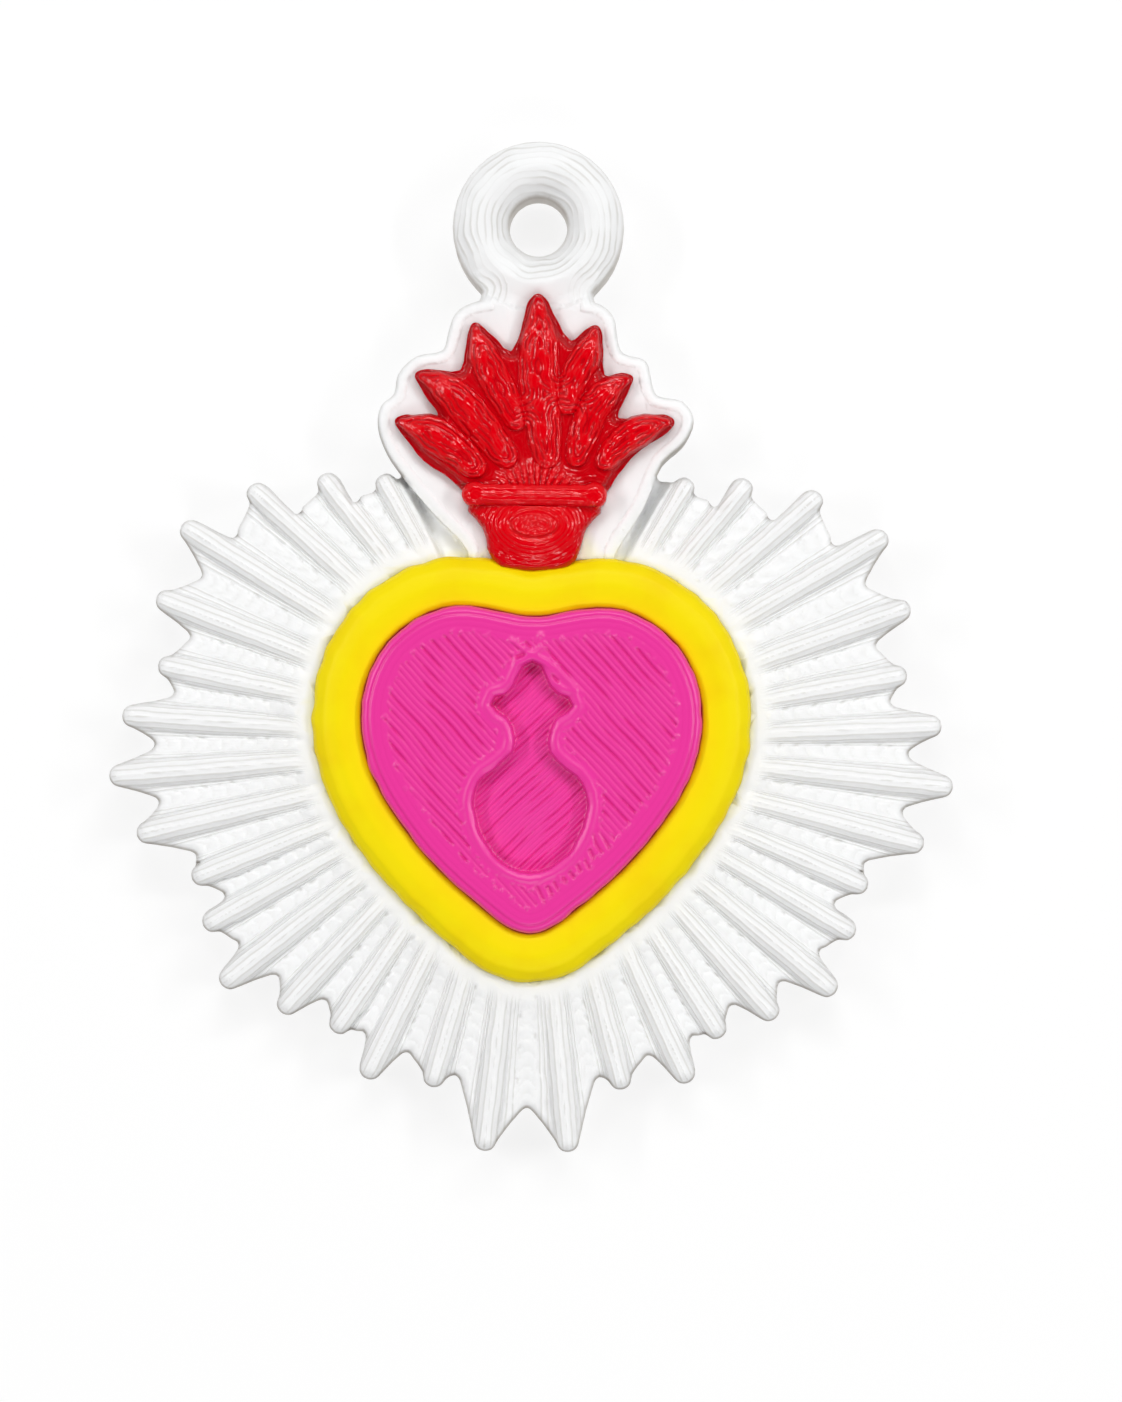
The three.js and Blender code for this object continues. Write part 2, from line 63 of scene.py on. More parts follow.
# The fan of rays on the white body. Directions are in degrees from straight up, on both sides alike
FAN_CENTRE_Z = -20.4
RAY_DIRECTIONS = (
    30.2, 39.0, 48.6, 59.0, 69.6, 79.0, 87.0, 95.4, 104.0, 112.7, 120.1, 128.8, 137.8, 146.5, 154.5,
    164.5, 174.1,
)
FAN_START = 27.0
FAN_BEGINS = (FAN_START - 1, FAN_START + 1)
RAY_CREST = 2.8
# The bed between the rays lies at most this far below their crests
BED_DROP = 1.6
# Half the width of a crest and of a valley's floor, or where it is less, a share of the way from
# the ray's middle line to the valley's
RAY_CREST_HALF = 0.4
RAY_CREST_SHARE = 0.4
FLOOR_HALF = 0.36
FLOOR_SHARE = 0.25
FLOOR_FADE = 0.06
# The valleys between the rays, by the distance from the rim
VALLEY_DEEPENS = (0.4, 5.0)
VALLEY_OPENS = (0.4, 1.6)
# Crescents on the valleys' floors: how they bend, how high they stand, and where each one falls
CRESCENT_BEND = 2.2
CRESCENT_RISE = 0.06
CRESCENT_FALLS = (0.75, 1.0)
PIT_DEPTH = 0.06
# The crests roll down to the outline over this width, by this much
LIP_WIDTH = 0.3
LIP_DROP = 0.28
# The scalloped plate behind the flames, the foot of the neck above it, and the hanging loop with
# the distance between the lines round it
PLATE_FLOOR = 2.8
PLATE_ENDS = (FAN_START - 1.5, FAN_START - 0.5)
NECK_FOOT = -3.6
LOOP_RADIUS = 3.4
LOOP_LINE_GAP = 0.25
# A surface stands as steep as a wall at the first number, and lies flat from the second one on
WALL_TO_FLAT = (0.3, 0.6)
# How strongly the light that the rim and the crown throw on the white beside them is painted on it,
# and how far out
RIM_LIGHT_SHARE, RIM_LIGHT_ENDS = 0.6, (0.0, 0.45)
CROWN_LIGHT_SHARE, CROWN_LIGHT_ENDS = 0.15, (0.05, 0.5)
# The floor of the seat that the heart and the rim stand in
SEAT_FLOOR = 1.6
# The heart's face and its pocket's floor, and how near to them a point counts as lying on them
HEART_FACE = 4.0
POCKET_FLOOR = 3.3
FACE_REACH = 0.15
# How the strands slant down to the right, in degrees: on the face, low on its right, in the pocket,
# and the row of slots where the strands turn round
FACE_SLANT, LOW_SLANT, POCKET_SLANT, SLOT_SLANT = 47, 50, -43, 60
# Low on the right begins here, to the right of the fan's centre and below it
LOW_RIGHT_X, LOW_RIGHT_DROP = 0.3, 3.6
LOW_RIGHT_BEGINS = (-0.2, 0.2)
SLOT_GAP = 0.36
EDGE_LINE_GAP = 0.24
# The most that anything stands up from the face
MOST_RAISED = 0.07
# Above the pocket, from the fan's centre: raised scars where the strands turn, and dents by them,
# and how wide they are
SCAR_WIDTH, DENT_WIDTH = 0.11, 0.07
SCARS = (
    ((-0.83, 3.98), (0.0, 3.39), (0.88, 2.95), (1.72, 2.07)),
    ((-0.63, 3.1), (0.0, 3.39), (0.4, 3.73)),
    ((0.28, 4.18), (0.33, 4.2)),
)
DENTS = (
    ((-0.6, 3.34), (-0.36, 3.44)),
    ((0.8, 2.62), (1.0, 2.42)),
)
# The crown's foot, the depth that its flames stand up from, and the heights above its foot where
# they start and where its parts meet
CROWN_Z = -13.34
FLAME_WALL = 3.3
FLAME_START = 1.9
BAND_RISE = 2.66
CUP_TOP = BAND_RISE - 0.45
TERRACES_TOP = BAND_RISE + 0.35
FLAMES_BEGIN = (BAND_RISE + 0.33, BAND_RISE + 0.45)
# Where the flames' roots end, seen from where the flames start, and the angle from one fold there
# to the next, in radians
ROOTS_END = (1.5, 2.4)
FOLD_ANGLE = 0.17
# The painted shade between the flames, over the band and elsewhere, and the depth where it ends
SHADE_ABOVE_BAND, SHADE_ELSEWHERE = 0.7, 0.5
SHADE_ENDS = (FLAME_WALL + 0.05, FLAME_WALL + 0.45)
# The oval boss on the cup
BOSS_RISE = 1.5
BOSS_HALF_WIDTH = 0.96
BOSS_HALF_HEIGHT = 0.54
BOSS_TOP = 3.86

# The Mix node's inputs for two colours, and the rest that it needs to mix them
UNDER, OVER = 6, 7
IN_COLOUR = {"output": 2, "data_type": "RGBA"}

# The stage, in metres, and how strongly its paper glows
CHARM_MIDDLE = Vector((0, 0, -0.0187))
PAPER_SIZE = 1.6
LAMP_LONG, SIDE_LAMP_LONG, LAMP_SHORT = 0.2, 0.16, 0.03
PAPER_LIGHT = 1.02


def linear(hex_colour):
    """An sRGB hex colour as linear red, green, blue and alpha."""
    shades = [int(hex_colour[i:i + 2], 16) / 255 for i in (1, 3, 5)]
    return [s / 12.92 if s <= 0.04045 else ((s + 0.055) / 1.055) ** 2.4 for s in shades] + [1.0]


# Sizes and colours that a user would change


def length(name, description, millimetres):
    """A length that is typed here in millimetres and kept in metres."""
    return bpy.props.FloatProperty(
        name=name, description=description, default=millimetres * MM, min=0.0, precision=6,
        unit="LENGTH",
    )


def colour(name, description, hex_colour):
    """A colour that is typed here as sRGB hex."""
    return bpy.props.FloatVectorProperty(
        name=name, description=description, default=linear(hex_colour), size=4, subtype="COLOR",
        min=0, max=1,
    )


def most_faces(description):
    """How many triangles a piece may have."""
    return bpy.props.IntProperty(
        name="Faces", description=description, default=190000, min=20000, max=199000
    )


def power(name, description, watts):
    """The power of a lamp."""
    return bpy.props.FloatProperty(name=name, description=description, default=watts, unit="POWER")


class SunburstSizes(bpy.types.PropertyGroup):
    grain: length("Grain", "Size of the cells that the body is cast again with", 0.085)
    layer: length("Layer", "Height of one printed layer", 0.12)
    strand: length("Strand", "Distance between the lines along the rays", 0.22)
    crescent: length("Crescent", "Distance between the crescents on a valley's floor", 0.55)
    valley_edge: length("Valley edge", "Depth of a valley below the crests at its notch", 0.42)
    valley_root: length("Valley root", "Depth of a valley below the crests near the rim", 0.15)
    plate_fill: length("Plate fill", "Depth that the plate's floor is filled to", 2.93)
    plastic: colour("Plastic", "Colour of the white plastic", "#fcfdfe")
    shade: colour("Shade", "Colour of the thinner places", "#f8f9fa")
    # The crease colour is painted shade down in the fine lines and pits
    crease_shade: colour("Crease", "Colour down in the fine lines and pits", "#d3d1cd")
    # The rim's colour on the white beside it is painted yellow light that the rim throws there
    painted_rim_light: colour("Tint", "Colour that the rim leaves on the white beside it", "#fff7ae")
    # The edge colour is painted shade along the outline, darkest where it faces down
    edge: colour("Edge", "Colour of the lowest layers, seen along the outline", "#aea79f")
    # The crown's colour on the white beside it is painted pink light that the crown throws there
    painted_crown_light: colour("Blush", "Colour that the crown leaves on the white beside it", "#fae3e6")
    faces: most_faces("Most triangles in the body")


class RimSizes(bpy.types.PropertyGroup):
    grain: length("Grain", "Size of the cells that the rim is cast again with", 0.067)
    spread: length("Spread", "How far the plastic spreads over its seat", 0.15)
    unevenness: length("Unevenness", "How far the outer edge wanders", 0.03)
    plastic: colour("Plastic", "Colour of the yellow plastic", "#f7e000")
    shade: colour("Shade", "Colour of the thinner places", "#f4d400")
    # The seam colour is painted shade and a painted reflection of the pink heart
    seam: colour("Seam", "Colour down in the seam beside the heart", "#9c1430")


class HeartSizes(bpy.types.PropertyGroup):
    grain: length("Grain", "Size of the cells that the heart is cast again with", 0.052)
    border: length("Border", "Width of the smooth lines along the edges", 0.9)
    strand: length("Strand", "Distance between the strands on the face", 0.22)
    pocket_strand: length("Pocket strand", "Distance between the strands in the pocket", 0.16)
    groove: length("Groove", "Depth of the grooves between the strands", 0.09)
    faces: most_faces("Most triangles in the heart")
    spread: length("Spread", "How far the plastic spreads towards the rim", 0.05)
    plastic: colour("Plastic", "Colour of the pink plastic", "#ed349d")
    shade: colour("Shade", "Colour down in the grooves", "#d81580")


class CrownSizes(bpy.types.PropertyGroup):
    grain: length("Grain", "Size of the cells that the crown is cast again with", 0.05)
    layer: length("Layer", "Height between two contour lines", 0.1)
    strand: length("Strand", "Distance between the lines along the flames", 0.19)
    ridge: length("Ridge", "Height of the ridges along the flames", 0.07)
    spread: length("Spread", "How far the plastic spreads over its seat", 0.04)
    fill: length("Fill", "How far the ground between the flames is filled", 0.22)
    plastic: colour("Plastic", "Colour of the red plastic", "#e0000f")
    shade: colour("Shade", "Colour down between the flames", "#9a000b")


class StageSizes(bpy.types.PropertyGroup):
    distance: length("Distance", "From the camera to the back of the charm", 172.0)
    side: length("Side", "How far the camera stands to the right of the loop", 1.142)
    drop: length("Drop", "How far the camera stands below the loop", 18.76)
    roll: bpy.props.FloatProperty(
        name="Roll", description="Turn of the camera about its view", default=math.radians(-0.75),
        subtype="ANGLE",
    )
    lens: bpy.props.FloatProperty(
        name="Lens", description="Focal length", default=110.21, unit="CAMERA"
    )
    paper: colour("Paper", "Colour of the pale surface", "#fdfdfd")
    gap: length("Gap", "From the back of the charm to the pale surface", 0.4)
    glow: bpy.props.FloatProperty(
        name="Glow", description="Share of the paper's light that comes through it from behind",
        default=0.8, min=0, max=1, subtype="FACTOR",
    )
    room: bpy.props.FloatProperty(
        name="Room", description="Strength of the light from all round", default=0.285
    )
    top_light: power("Top light", "Power of the top light", 0.29)
    side_light: power("Side lights", "Power of each side light", 0.3)
    low_light: power("Low light", "Power of the light from below", 0.175)


# Modelling


def select_only(piece):
    """Leaves this piece selected alone, and active."""
    bpy.ops.object.select_all(action="DESELECT")
    piece.select_set(True)
    bpy.context.view_layer.objects.active = piece


def finish_with(piece, kind, **settings):
    """Adds a modifier to a piece and applies it."""
    select_only(piece)
    modifier = piece.modifiers.new(kind.title(), kind)
    for name, value in settings.items():
        setattr(modifier, name, value)
    bpy.ops.object.modifier_apply(modifier=modifier.name)


def cast_again(node, name, grain, rounds):
    """A copy of a CAD node in even cells, its edges melted soft as the printer leaves them."""
    piece = bpy.data.objects.new(name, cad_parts[node].data.copy())
    piece.data.name = name
    piece.data.materials.clear()
    bpy.context.collection.objects.link(piece)
    select_only(piece)
    bpy.ops.object.mode_set(mode="EDIT")
    bpy.ops.mesh.select_all(action="SELECT")
    bpy.ops.mesh.remove_doubles(threshold=0.001 * MM)
    bpy.ops.object.mode_set(mode="OBJECT")
    finish_with(piece, "REMESH", mode="VOXEL", voxel_size=grain, adaptivity=0.0)
    finish_with(piece, "SMOOTH", factor=0.5, iterations=rounds)
    return piece


def thin_out(piece, faces):
    """Thins a piece of four-sided cells to at most this many triangles."""
    share = faces / (2 * len(piece.data.polygons))
    finish_with(piece, "DECIMATE", decimate_type="COLLAPSE", ratio=min(1.0, share))


def points_of(piece):
    """The places of a piece's vertices in millimetres, one row each."""
    flat = np.empty(len(piece.data.vertices) * 3, dtype=np.float32)
    piece.data.vertices.foreach_get("co", flat)
    return flat.reshape(-1, 3).astype(float) / MM


def normals_of(piece):
    """The directions that a piece's vertices face, one row each."""
    flat = np.empty(len(piece.data.vertices) * 3, dtype=np.float32)
    piece.data.vertex_normals.foreach_get("vector", flat)
    return flat.reshape(-1, 3).astype(float)


def move_points(piece, points):
    """Moves a piece's vertices to these places, given in millimetres."""
    piece.data.vertices.foreach_set("co", (points * MM).astype(np.float32).ravel())
    piece.data.update()


def mark(piece, name, values):
    """Keeps one number for each vertex, for the material to read."""
    attribute = piece.data.attributes.new(name, "FLOAT", "POINT")
    attribute.data.foreach_set("value", np.asarray(values, dtype=np.float32))


def smooth_step(low, high, values):
    """0 up to the low value, 1 from the high one on, and smooth between them."""
    t = np.clip((values - low) / (high - low), 0, 1)
    return t * t * (3 - 2 * t)


def bell(values, middle, width):
    """1 in the middle, and next to nothing two widths away from it."""
    return np.exp(-((values - middle) / width) ** 2)


def wander(u, v, wavelength, seed):
    """A smooth, uneven field between about -1 and 1, from a few waves that cross each other."""
    waves = 9
    rng = np.random.default_rng(seed)
    total = np.zeros_like(u)
    for _ in range(waves):
        turn, phase = rng.uniform(0, TURN, 2)
        wave = TURN / (wavelength * rng.uniform(0.6, 1.6))
        total += np.sin((u * math.cos(turn) + v * math.sin(turn)) * wave + phase)
    return total / math.sqrt(waves)


def stepped(depth, layer, softness):
    """Depths gathered into layers, with a soft riser between one layer and the next."""
    count = depth / layer
    whole = np.floor(count)
    return (whole + smooth_step(0.5 - softness, 0.5 + softness, count - whole)) * layer


def from_line(x, z, line):
    """How far each point is from a bent line, seen from the front, in millimetres."""
    nearest = np.full_like(x, np.inf)
    for (x0, z0), (x1, z1) in zip(line, line[1:]):
        length_squared = (x1 - x0) ** 2 + (z1 - z0) ** 2
        share = np.clip(((x - x0) * (x1 - x0) + (z - z0) * (z1 - z0)) / length_squared, 0, 1)
        apart = np.hypot(x - x0 - share * (x1 - x0), z - z0 - share * (z1 - z0))
        nearest = np.minimum(nearest, apart)
    return nearest


def between_strands(x, z, slant, gap, seed):
    """How far a point lies down between strands laid side by side, slanting down to the right by
    this many degrees: a fine crease between all of them, and an open gap here and there between
    every second pair."""
    turn = math.radians(slant)
    across = x * math.sin(turn) + z * math.cos(turn)
    along = x * math.cos(turn) - z * math.sin(turn)
    across = across + 0.15 * gap * wander(along, across, 3.5, seed)
    # The higher the power of a wave, the narrower its crests
    fine = np.abs(np.cos(math.pi * across / gap)) ** 4
    every_second = np.abs(np.cos(0.5 * math.pi * across / gap)) ** 14
    opened = smooth_step(-0.8, 0.5, wander(0.35 * along, 2.5 * across, 1.3, seed + 50))
    fine_share = 0.35
    return fine_share * fine + (1 - fine_share) * every_second * opened


def edge_finder(node, depth):
    """A finder for the nearest point of a CAD node's outline at one depth, seen from the front."""
    level, upright, spacing = 0.01, 0.5, 0.05 * MM
    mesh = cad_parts[node].data
    spots = []
    for triangle in mesh.polygons:
        corners = [mesh.vertices[i].co for i in triangle.vertices]
        for start, end in zip(corners, corners[1:] + corners[:1]):
            at_depth = all(abs(corner.y / MM + depth) < level for corner in (start, end))
            if at_depth and abs(triangle.normal.y) < upright:
                steps = max(2, int((end - start).length / spacing))
                spots += [start.lerp(end, i / steps) for i in range(steps + 1)]
    tree = kdtree.KDTree(len(spots))
    for i, spot in enumerate(spots):
        tree.insert(Vector((spot.x, 0, spot.z)), i)
    tree.balance()
    return tree


def distances(tree, points):
    """How far each point is from an outline, seen from the front, in millimetres."""
    return np.array([tree.find(Vector((x * MM, 0, z * MM)))[2] / MM for x, _, z in points])


def nearest_of(points, others):
    """How far each point is from the nearest of some others, seen from the front."""
    tree = kdtree.KDTree(len(others))
    for i, (x, _, z) in enumerate(others):
        tree.insert(Vector((x, 0, z)), i)
    tree.balance()
    return np.array([tree.find(Vector((x, 0, z)))[2] for x, _, z in points])


def front_of(piece, points):
    """The depth of the piece's front at each point's place, seen from the front, in millimetres."""
    tree = bvhtree.BVHTree.FromObject(piece, bpy.context.evaluated_depsgraph_get())
    well_in_front = -20 * MM
    fronts = []
    for x, y, z in points:
        hit = tree.ray_cast(Vector((x * MM, well_in_front, z * MM)), Vector((0, 1, 0)))[0]
        fronts.append(-y if hit is None else -hit.y / MM)
    return np.array(fronts)


def spread_out(piece, amount, unevenness, seed):
    """Moves a piece's sides outwards, by an amount that wanders along the edge."""
    points = points_of(piece)
    wave = wander(points[:, 0], points[:, 2], wavelength=1.2, seed=seed)
    push = (amount + unevenness * wave) / MM
    points += normals_of(piece) * np.array([1, 0, 1]) * push[:, None]
    move_points(piece, points)


def settle(piece, node, material):
    """Gives a piece its material and makes it stand for its CAD node."""
    piece.data.materials.append(material)
    select_only(piece)
    bpy.ops.object.shade_smooth()
    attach(piece, "root")
    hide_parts(node)


# The white sunburst


def fan_places(points):
    """For each point: its direction in degrees from straight up, its distance across the nearest
    ray's middle line, and how far the middle of the valley beside that ray lies from that line."""
    rise = points[:, 2] - FAN_CENTRE_Z
    radius = np.hypot(points[:, 0], rise)
    direction = np.degrees(np.arctan2(np.abs(points[:, 0]), rise))
    rays = np.array(RAY_DIRECTIONS)
    at_ray = np.abs(direction[:, None] - rays[None, :]).argmin(axis=1)
    below = np.append((rays[1:] - rays[:-1]) / 2, 180 - rays[-1])
    above = np.append(rays[0] - FAN_START, (rays[1:] - rays[:-1]) / 2)
    apart = np.where(direction > rays[at_ray], below[at_ray], above[at_ray])
    across = radius * np.sin(np.radians(direction - rays[at_ray]))
    reach = radius * np.sin(np.radians(apart))
    return direction, across, reach


def sunburst_places(piece):
    """Where the white body's points lie: in the body, from its outline and the rim, and in the fan,
    with half the width of the ray's crest and of the valley's floor there."""
    points = points_of(piece)
    direction, across, reach = fan_places(points)
    return SimpleNamespace(
        points=points, x=points[:, 0], z=points[:, 2],
        inside=distances(edge_finder("sunburst", 0.0), points),
        from_rim=distances(edge_finder("heart_rim", SEAT_FLOOR), points),
        direction=direction, across=across, reach=reach,
        crest_half=np.minimum(RAY_CREST_HALF, RAY_CREST_SHARE * reach),
        floor_half=np.minimum(FLOOR_HALF, FLOOR_SHARE * reach),
    )


def carve_sunburst(piece, sizes):
    """Sinks the valleys between the rays, lays crescents and pits in them, and fills the plate's
    floor almost to its lip. Gives back how much shade is painted on each point, in the pits and at
    the foot of each crescent's step."""
    at = sunburst_places(piece)
    x, z, inside, from_rim = at.x, at.z, at.inside, at.from_rim
    depth = -at.points[:, 1]
    front = front_of(piece, at.points)
    on_fan = smooth_step(*FAN_BEGINS, at.direction) * (front > RAY_CREST - BED_DROP)
    on_fan *= 1 - smooth_step(RAY_CREST, RAY_CREST + 0.1, front)
    wavered = at.across + 0.03 * wander(x, z, 1.1, 3)
    beside = at.reach - np.abs(wavered)
    # Valleys: shallow at the rim, deeper at the notches, and closed a little before the rim
    toward_edge = smooth_step(*VALLEY_DEEPENS, from_rim)
    deep = (sizes.valley_root + (sizes.valley_edge - sizes.valley_root) * toward_edge) / MM
    deep *= smooth_step(*VALLEY_OPENS, from_rim + 0.25 * wander(at.direction, 0 * x, 9.0, 31))
    flank_width = at.reach - at.floor_half - at.crest_half
    flank = np.clip((np.abs(wavered) - at.crest_half) / flank_width, 0, 1)
    flank *= deep
    # Crescents: each is a low step that bends back along both sides of its valley
    bent = inside + CRESCENT_BEND * beside ** 2 + 0.05 * wander(x, z, 0.8, 7)
    turns = bent / (sizes.crescent / MM)
    share = turns - np.floor(turns)
    on_floor = 1 - smooth_step(at.floor_half - FLOOR_FADE, at.floor_half + FLOOR_FADE, beside)
    on_floor *= smooth_step(0.6, 0.9, from_rim) * smooth_step(0.25, 0.5, inside)
    rise = CRESCENT_RISE * (share - smooth_step(*CRESCENT_FALLS, share)) * on_floor
    # Pits along the foot of each flank that faces down, between the ends of the crescents
    foot = bell(beside - at.floor_half, 0.03, 0.07) * on_fan * (at.across > 0)
    tooth = smooth_step(0.45, 0.6, share) * (1 - smooth_step(0.85, 1.0, share))
    tooth *= smooth_step(-0.35, 0.25, wander(x, z, 1.3, 8))
    pit_and_its_shade = foot * tooth * smooth_step(0.45, 0.9, from_rim) * smooth_step(0.5, 1.0, inside)
    lip = LIP_DROP * (1 - np.clip(inside / LIP_WIDTH, 0, 1)) ** 2
    wanted = np.minimum(RAY_CREST - flank - lip, np.maximum(front, RAY_CREST - deep - lip))
    wanted = wanted + rise - PIT_DEPTH * pit_and_its_shade
    lifted = smooth_step(0.2, 1.0, depth / np.maximum(front, 0.1))
    on_plate = (1 - smooth_step(*PLATE_ENDS, at.direction)) * smooth_step(0.3, 0.5, inside)
    on_plate *= (np.hypot(x, z) > LOOP_RADIUS) * (front > PLATE_FLOOR - 0.1)
    filled = np.maximum(sizes.plate_fill / MM - front, 0) * on_plate
    at.points[:, 1] = -(depth + ((wanted - front) * on_fan + filled) * lifted)
    move_points(piece, at.points)
    # Painted shade in the pits and at the foot of each crescent's step
    return np.clip(0.5 * pit_and_its_shade + 0.25 * (1 - share) ** 3 * on_floor, 0, 1) * on_fan


def mark_sunburst(piece, sizes):
    """Tells the white plastic where its lines run, where shade is painted along the outline, and
    where the light of the other colours beside it is painted on it.
    """
    at = sunburst_places(piece)
    x, z, inside, from_rim = at.x, at.z, at.inside, at.from_rim
    outward = normals_of(piece)
    facing = np.abs(outward[:, 1])
    on_loop = z > NECK_FOOT
    # Lines run round the loop and its neck and along the crests, and closer down the flanks
    from_middle = np.abs(at.across)
    flank_width = np.maximum(at.reach - at.floor_half - at.crest_half, 0.05)
    down = (from_middle - at.crest_half) / flank_width
    crossed = np.where(down < 0, from_middle, at.crest_half + 0.65 * down) / (sizes.strand / MM)
    ringed = (inside + 0.05 * wander(x, z, 1.6, 41)) / LOOP_LINE_GAP
    mark(piece, "strand", np.where(on_loop, ringed, crossed))
    off_floor = smooth_step(0, 0.08, at.reach - from_middle - at.floor_half)
    on_rays = (at.direction > FAN_START) * (0.15 + 0.75 * off_floor)
    on_rays *= smooth_step(*WALL_TO_FLAT, facing) * smooth_step(0.4, 1.2, from_rim)
    round_loop = 0.35 + 0.45 * smooth_step(-0.6, 0.6, wander(x, z, 1.8, 42))
    round_loop *= 1 - smooth_step(0.9, 1.3, inside)
    round_loop *= smooth_step(NECK_FOOT, NECK_FOOT + 0.9, z)
    mark(piece, "lined", np.where(on_loop, round_loop, on_rays))
    mark(piece, "steep", (1 - smooth_step(*WALL_TO_FLAT, facing)) * (1 - on_loop))
    # Shade is painted along the outline, most of all where it faces down
    facing_down = -outward[:, 2] / np.maximum(np.hypot(outward[:, 0], outward[:, 2]), 0.05)
    at_outline = 1 - smooth_step(0.02, 0.16, inside)
    mark(piece, "edge", at_outline * (0.3 + 0.6 * smooth_step(-0.3, 0.6, facing_down)))
    # Painted light: the yellow and pink light that the rim and the crown throw on the white beside
    # them
    mark(piece, "painted_rim_light_share", RIM_LIGHT_SHARE * (1 - smooth_step(*RIM_LIGHT_ENDS, from_rim)))
    from_crown = distances(edge_finder("flame_crown", PLATE_FLOOR), at.points)
    mark(piece, "painted_crown_light_share", CROWN_LIGHT_SHARE * (1 - smooth_step(*CROWN_LIGHT_ENDS, from_crown)))


# The pink heart


def lay_heart_strands(piece, sizes):
    """Lays the heart's face and its pocket's floor in strands, with scars, slots and beads where
    they turn."""
    points = points_of(piece)
    x, z = points[:, 0], points[:, 2]
    depth = -points[:, 1]
    edge = distances(edge_finder("heart", SEAT_FLOOR), points)
    pocket = distances(edge_finder("heart", POCKET_FLOOR), points)
    border = sizes.border / MM
    level = normals_of(piece)[:, 1] < -0.8
    on_face = level * (depth > HEART_FACE - FACE_REACH)
    on_floor = level * (np.abs(depth - POCKET_FLOOR) < FACE_REACH)
    inside = np.minimum(edge - border, pocket - 0.5 * border) + 0.07 * wander(x, z, 0.5, 21)
    low_right = smooth_step(*LOW_RIGHT_BEGINS, x - LOW_RIGHT_X)
    low_right = low_right * smooth_step(*LOW_RIGHT_BEGINS, FAN_CENTRE_Z - LOW_RIGHT_DROP - z)
    groove = np.zeros_like(x)
    # Strands slant down to the right on the face, steeper low on the right, and rise to the right
    # in the pocket
    for where, slant, gap, seed in (
        (on_face * (1 - low_right) * smooth_step(0, 0.12, inside), FACE_SLANT, sizes.strand, 5),
        (on_face * low_right * smooth_step(0.4, 0.5, inside), LOW_SLANT, sizes.strand, 6),
        (on_floor * smooth_step(0, 0.12, pocket - 0.05), POCKET_SLANT, sizes.pocket_strand, 8),
    ):
        groove += where * between_strands(x, z, slant, gap / MM, seed)
    # Short slots stand in a row low on the right, where the strands turn round
    turn = math.radians(SLOT_SLANT)
    along_row = x * math.sin(turn) + z * math.cos(turn) + 0.04 * wander(x, z, 0.9, 23)
    slots = bell(np.mod(along_row, SLOT_GAP), SLOT_GAP / 2, 0.07)
    slots *= smooth_step(0, 0.06, inside) * (1 - smooth_step(0.38, 0.46, inside))
    groove += 0.8 * on_face * low_right * slots
    # Fine lines follow the heart's edge all along the border, and one plainer groove
    edging = on_face * (1 - smooth_step(0, 0.12, inside))
    edging = edging * np.abs(np.cos(math.pi * edge / EDGE_LINE_GAP)) ** 6
    groove += 0.12 * edging * (edge < border)
    groove += 0.4 * on_face * bell(edge, 0.25, 0.05)
    rise = z - FAN_CENTRE_Z
    scars = sum(bell(from_line(x, rise, line), 0, SCAR_WIDTH) for line in SCARS)
    dents = sum(bell(from_line(x, rise, line), 0, DENT_WIDTH) for line in DENTS)
    groove = groove * (1 - np.clip(scars, 0, 1)) + on_face * dents
    bead = on_face * bell(pocket, 0.2, 0.12)
    blobs = on_face * bell(inside, 0.06, 0.08) * smooth_step(0.2, 1.0, wander(x, z, 0.35, 22))
    raised = np.minimum(0.05 * blobs + 0.06 * on_face * scars + 0.05 * bead, MOST_RAISED)
    points[:, 1] -= raised - groove * sizes.groove / MM
    move_points(piece, points)
    # The grooves are kept for the pink plastic, which paints shade down in them
    mark(piece, "groove", np.clip(groove, 0, 1))


# The red crown of flames


def ridge_flames(x, z, cast_depth, outer, from_foot, on_flames, sizes):
    """Fills the ground between the flames a little, more towards their roots, and lays ridges along
    the flames and folds at their roots. Gives back the new depths, the count of ridges, and how
    plain the ridges and the folds are."""
    rise = z - CROWN_Z
    on_petals = on_flames * smooth_step(FLAME_WALL + 0.2, FLAME_WALL + 0.3, cast_depth)
    turn = np.arctan2(x, rise - FLAME_START)
    near_root = 1 - smooth_step(*ROOTS_END, np.hypot(x, rise - FLAME_START))
    ground = FLAME_WALL + sizes.fill / MM * (1 + near_root) * smooth_step(0.05, 0.35, outer)
    depth = np.where(on_flames > 0.5, np.maximum(cast_depth, ground), cast_depth)
    # Ridges follow the outline of each flame and break off here and there
    rings = (from_foot + 0.03 * wander(x, z, 0.8, 14)) / (sizes.strand / MM)
    broken = smooth_step(-0.9, 0.0, wander(x, z, 0.9, 15))
    fine = (0.5 + 0.5 * np.cos(TURN * rings)) * broken * on_petals * (1 - near_root)
    fold_count = turn / FOLD_ANGLE + 0.1 * wander(x, z, 1.5, 18)
    folds = (0.5 + 0.5 * np.cos(TURN * fold_count)) ** 3
    folds *= near_root * on_flames * smooth_step(0.12, 0.3, outer)
    return depth - sizes.ridge / MM * (fine + 2.5 * folds), rings, fine, folds


